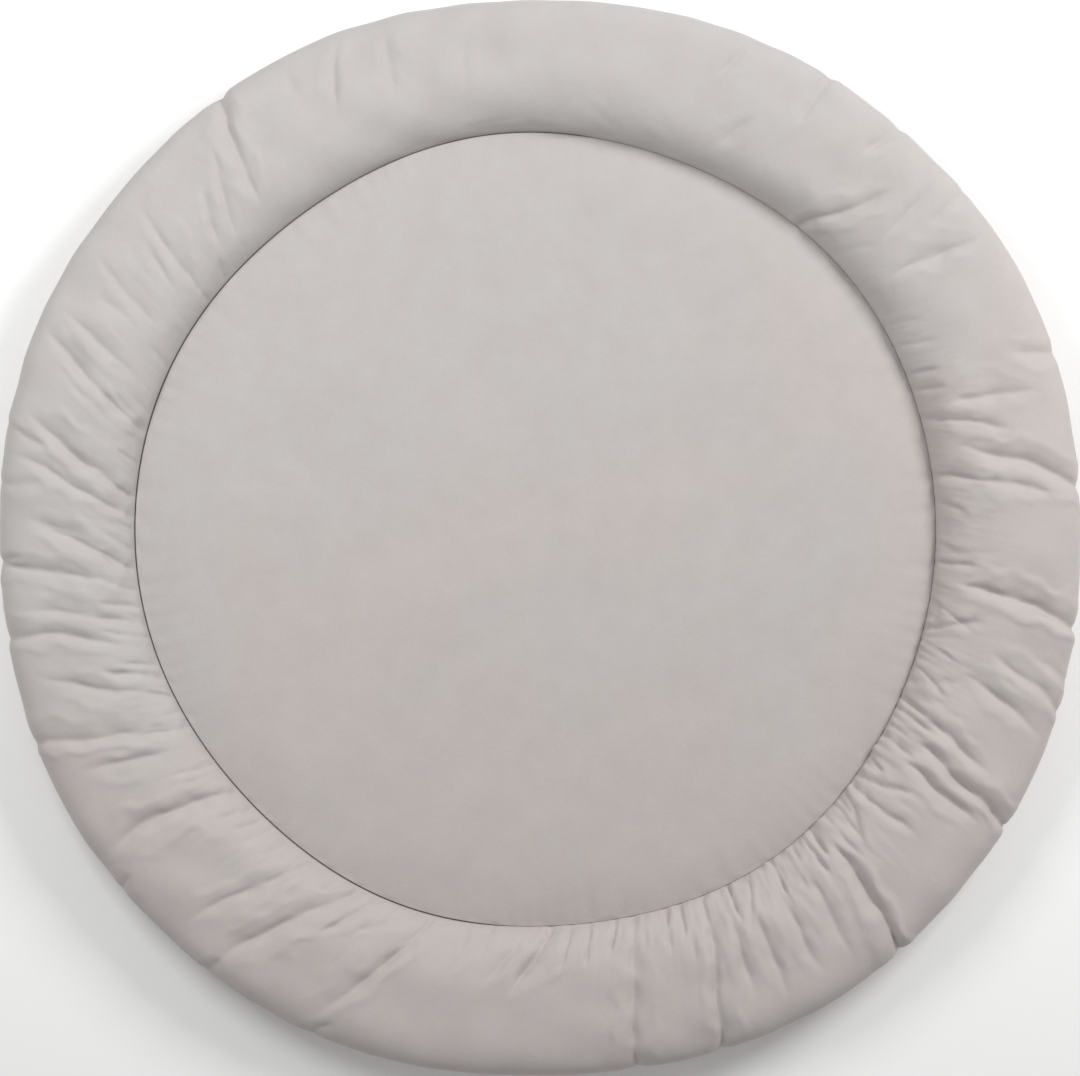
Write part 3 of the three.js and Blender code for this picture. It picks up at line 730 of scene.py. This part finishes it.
def napCloth(name):
    # Colour: mix(pale, cool, noise + lean * distance), mixed with deep by a finer noise, times the nap's
    # shade. Relief: share * the higher of two crossed waves + the nap's noise, as bump.
    material = bpy.data.materials.new(name)
    material.use_nodes = True
    tree = material.node_tree
    link = tree.links.new
    shader = tree.nodes["Principled BSDF"]
    shader.inputs["Roughness"].default_value = cloth["roughness"]
    shader.inputs["Sheen Weight"].default_value = cloth["sheen"]
    shader.inputs["Sheen Roughness"].default_value = cloth["sheenRoughness"]
    shader.inputs["Sheen Tint"].default_value = (*cloth["sheenTint"], 1)
    shader.inputs["Specular IOR Level"].default_value = cloth["specular"]
    where = addNode(tree, "ShaderNodeTexCoord", (-1500, 0))

    mottle = addNode(tree, "ShaderNodeTexNoise", (-1200, 300))
    mottle.inputs["Scale"].default_value = 1 / cloth["mottleLength"]
    mottle.inputs["Detail"].default_value = cloth["mottleDetail"]
    link(where.outputs["Object"], mottle.inputs["Vector"])
    away = addNode(tree, "ShaderNodeVectorMath", (-1200, 550), operation="DOT_PRODUCT")
    pinkTurn = np.radians(cloth["pinkTowards"])
    away.inputs[1].default_value = (-np.cos(pinkTurn), -np.sin(pinkTurn), 0)
    link(where.outputs["Object"], away.inputs[0])
    shifted = addNode(tree, "ShaderNodeMath", (-1050, 450), operation="MULTIPLY_ADD")
    shifted.inputs[1].default_value = cloth["pinkShare"] / plan["outlineRadius"]
    link(away.outputs["Value"], shifted.inputs[0])
    link(mottle.outputs["Fac"], shifted.inputs[2])
    hue = addNode(tree, "ShaderNodeValToRGB", (-950, 300))
    colours = (cloth["pale"], cloth["cool"])
    for stop, position, colour in zip(hue.color_ramp.elements, cloth["mottleRange"], colours):
        stop.position = position
        stop.color = (*colour, 1)
    link(shifted.outputs["Value"], hue.inputs["Fac"])

    blotch = addNode(tree, "ShaderNodeTexNoise", (-1200, 0))
    blotch.inputs["Scale"].default_value = 1 / cloth["blotchLength"]
    blotch.inputs["Detail"].default_value = cloth["blotchDetail"]
    blotch.inputs["Roughness"].default_value = cloth["blotchRoughness"]
    link(where.outputs["Object"], blotch.inputs["Vector"])
    deepen = addNode(tree, "ShaderNodeMapRange", (-950, 0))
    deepen.inputs["From Min"].default_value, deepen.inputs["From Max"].default_value = cloth["blotchRange"]
    deepen.inputs["To Min"].default_value = 0.0
    deepen.inputs["To Max"].default_value = cloth["blotchShare"]
    link(blotch.outputs["Fac"], deepen.inputs["Value"])
    mixed = addNode(tree, "ShaderNodeMix", (-700, 200), data_type="RGBA")
    mixed.inputs["B"].default_value = (*cloth["deep"], 1)
    link(deepen.outputs["Result"], mixed.inputs["Factor"])
    link(hue.outputs["Color"], mixed.inputs["A"])

    lay = addNode(tree, "ShaderNodeUVMap", (-1500, -400), uv_map="clothLay")
    threads = []
    bandsAtScaleOne = 3.1831  # that a wave texture of scale 1 has in a metre
    for direction, height in (("X", -300), ("Y", -500)):
        wave = addNode(tree, "ShaderNodeTexWave", (-1200, height), bands_direction=direction)
        wave.inputs["Scale"].default_value = 1 / cloth["threadPitch"] / bandsAtScaleOne
        wave.inputs["Distortion"].default_value = cloth["threadDistortion"]
        wave.inputs["Detail"].default_value = cloth["threadDetail"]
        link(lay.outputs["UV"], wave.inputs["Vector"])
        threads.append(wave)
    weave = addNode(tree, "ShaderNodeMath", (-950, -400), operation="MAXIMUM")
    link(threads[0].outputs["Fac"], weave.inputs[0])
    link(threads[1].outputs["Fac"], weave.inputs[1])
    nap = addNode(tree, "ShaderNodeTexNoise", (-1200, -750))
    nap.inputs["Scale"].default_value = 1 / cloth["napLength"]
    nap.inputs["Detail"].default_value = cloth["napDetail"]
    nap.inputs["Roughness"].default_value = cloth["napRoughness"]
    link(where.outputs["Object"], nap.inputs["Vector"])

    shade = addNode(tree, "ShaderNodeMapRange", (-700, -150))
    shade.inputs["To Min"].default_value, shade.inputs["To Max"].default_value = cloth["napShade"]
    link(nap.outputs["Fac"], shade.inputs["Value"])
    colour = addNode(tree, "ShaderNodeVectorMath", (-450, 150), operation="SCALE")
    link(mixed.outputs["Result"], colour.inputs[0])
    link(shade.outputs["Result"], colour.inputs["Scale"])
    link(colour.outputs["Vector"], shader.inputs["Base Color"])

    relief = addNode(tree, "ShaderNodeMath", (-700, -500), operation="MULTIPLY_ADD")
    relief.inputs[1].default_value = cloth["weaveShare"]
    link(weave.outputs["Value"], relief.inputs[0])
    link(nap.outputs["Fac"], relief.inputs[2])
    bump = addNode(tree, "ShaderNodeBump", (-450, -450))
    bump.inputs["Strength"].default_value = cloth["reliefStrength"]
    bump.inputs["Distance"].default_value = cloth["reliefDepth"]
    link(relief.outputs["Value"], bump.inputs["Height"])
    link(bump.outputs["Normal"], shader.inputs["Normal"])
    return material


# Studio: pale floor, a soft light from the upper right and a weaker one from the left
studio = {
    "floorSize": 30.0,
    "floorColour": (0.92, 0.92, 0.915),
    "floorRoughness": 0.8,
    # where each light stands, how large it is and how strong
    "keyAzimuth": 37,
    "keyRise": 38,
    "keyDistance": 2.2,
    "keySize": 0.8,
    "keyWatts": 30,
    "fillAzimuth": 143,
    "fillRise": 52,
    "fillDistance": 1.4,
    "fillSize": 0.6,
    "fillWatts": 8.4,
    "skyStrength": 0.42,
    "skyColour": (1.0, 1.0, 1.0),
}


def areaLight(name, azimuth, rise, distance, size, watts):
    # place = distance * (cos azimuth cos rise, sin azimuth cos rise, sin rise), and it faces the origin
    lamp = bpy.data.lights.new(name, "AREA")
    lamp.shape = "SQUARE"
    lamp.size = size
    lamp.energy = watts
    holder = bpy.data.objects.new(name, lamp)
    turn, lift = np.radians(azimuth), np.radians(rise)
    towards = np.array([np.cos(turn) * np.cos(lift), np.sin(turn) * np.cos(lift), np.sin(lift)])
    holder.location = towards * distance
    holder.rotation_euler = (np.pi / 2 - lift, 0, turn + np.pi / 2)
    bpy.context.scene.collection.objects.link(holder)


def makeStudio():
    half = studio["floorSize"] / 2
    mesh = bpy.data.meshes.new("floor")
    corners = [(-half, -half, 0), (half, -half, 0), (half, half, 0), (-half, half, 0)]
    mesh.from_pydata(corners, [], [(0, 1, 2, 3)])
    floor = bpy.data.objects.new("floor", mesh)
    bpy.context.scene.collection.objects.link(floor)
    paint = bpy.data.materials.new("paleFloor")
    paint.use_nodes = True
    matt = paint.node_tree.nodes["Principled BSDF"]
    matt.inputs["Base Color"].default_value = (*studio["floorColour"], 1)
    matt.inputs["Roughness"].default_value = studio["floorRoughness"]
    mesh.materials.append(paint)
    areaLight("keyLight", studio["keyAzimuth"], studio["keyRise"], studio["keyDistance"],
              studio["keySize"], studio["keyWatts"])
    areaLight("fillLight", studio["fillAzimuth"], studio["fillRise"], studio["fillDistance"],
              studio["fillSize"], studio["fillWatts"])

    world = bpy.data.worlds.new("studioAir")
    world.use_nodes = True
    sky = world.node_tree.nodes["Background"]
    sky.inputs["Color"].default_value = (*studio["skyColour"], 1)
    sky.inputs["Strength"].default_value = studio["skyStrength"]
    bpy.context.scene.world = world
    bpy.context.scene.view_settings.view_transform = "Standard"


# Camera: straight above, with the mat filling the picture as in the photograph
view = {
    "pictureWidth": 1080,
    "millimetresPerPixel": 0.8813,
    "height": 3.2,
    "sensor": 36.0,
}


def makeCamera():
    # lens = sensor * distance to the rim's widest line / width seen there
    camera = bpy.data.cameras.new("camera")
    camera.sensor_width = view["sensor"]
    seenWidth = view["pictureWidth"] * view["millimetresPerPixel"] / 1000
    camera.lens = view["sensor"] * (view["height"] - rim["waist"]) / seenWidth
    holder = bpy.data.objects.new("camera", camera)
    holder.location = (0, 0, view["height"])
    bpy.context.scene.collection.objects.link(holder)
    bpy.context.scene.camera = holder


makeCamera()
padCloth = makePad()
print("pad: made,", len(padCloth.data.polygons), "faces")
rimCloth = makeRim()
print("rim: made,", len(rimCloth.data.polygons), "faces")
for piece, node, slot in ((padCloth, "centre_pad", "pad_cloth"), (rimCloth, "rim_bolster", "rim_cloth")):
    piece.data.materials.append(napCloth(slot))
    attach(piece, "root")
    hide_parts(node)
print("cloth: finished")
makeStudio()
print("studio: lit")
